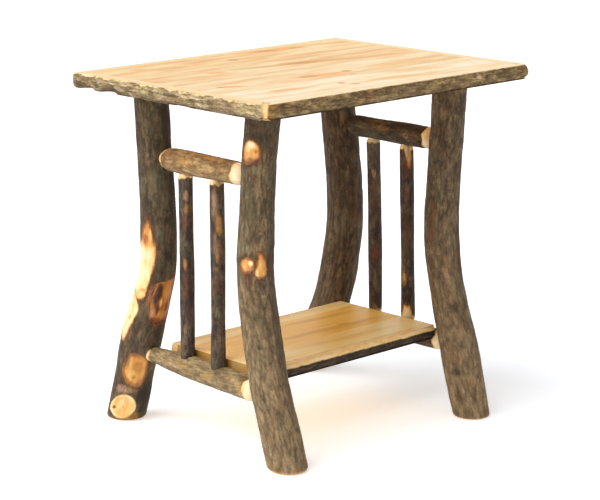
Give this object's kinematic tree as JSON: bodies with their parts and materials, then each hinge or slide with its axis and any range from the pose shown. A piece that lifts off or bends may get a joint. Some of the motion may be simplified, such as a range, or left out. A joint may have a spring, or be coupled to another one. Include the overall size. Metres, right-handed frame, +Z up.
{
  "type": "rustic pole side table",
  "caption": "Small rustic side table of bent bark-on hickory poles: planked top with mitred bark edges, two pole side frames with rails and spindles, and a low plank shelf.",
  "frame": {"origin": "on the floor, under the middle of the table's box; the top's middle lies 11 mm in front of it, because the back legs splay further than the front ones", "axes": "+X from left to right along the front edge, +Y from front to back, +Z up"},
  "size_m": [0.618, 0.4902, 0.61],
  "materials": {
    "leg_bark": "clear-lacquered hickory bark with peeled patches and cut knots",
    "rail_bark": "clear-lacquered hickory bark, peeled at the tenons",
    "spindle_bark": "clear-lacquered dark sapling bark, peeled at the tenons",
    "top_board": "satin-lacquered pale hickory with heartwood streaks",
    "edge_bark": "rough bark, lacquered, planed flush and pale on top",
    "shelf_board": "satin-lacquered golden hickory",
    "hidden_board": "plain planed wood",
    "dowel_wood": "plain turned wood",
    "screw_steel": "zinc-plated"
  },
  "bodies": {
    "root": {"leg_front_left": "leg_bark", "leg_front_right": "leg_bark", "leg_back_left": "leg_bark", "leg_back_right": "leg_bark", "upper_rail_left": "rail_bark", "upper_rail_right": "rail_bark", "lower_rail_left": "rail_bark", "lower_rail_right": "rail_bark", "spindle_left_front": "spindle_bark", "spindle_left_back": "spindle_bark", "spindle_right_front": "spindle_bark", "spindle_right_back": "spindle_bark", "top_plank_1": "top_board", "top_plank_2": "top_board", "top_plank_3": "top_board", "top_plank_4": "top_board", "top_edge_front": "edge_bark", "top_edge_right": "edge_bark", "top_edge_back": "edge_bark", "top_edge_left": "edge_bark", "top_cleat_left": "hidden_board", "top_cleat_right": "hidden_board", "cleat_screws": "screw_steel", "shelf_plank_1": "shelf_board", "shelf_plank_2": "shelf_board", "shelf_plank_3": "shelf_board", "shelf_edge_front": "edge_bark", "shelf_edge_back": "edge_bark", "shelf_batten_left": "hidden_board", "shelf_batten_right": "hidden_board", "shelf_screws": "screw_steel", "shelf_dowels": "dowel_wood"}
  },
  "joints": []
}
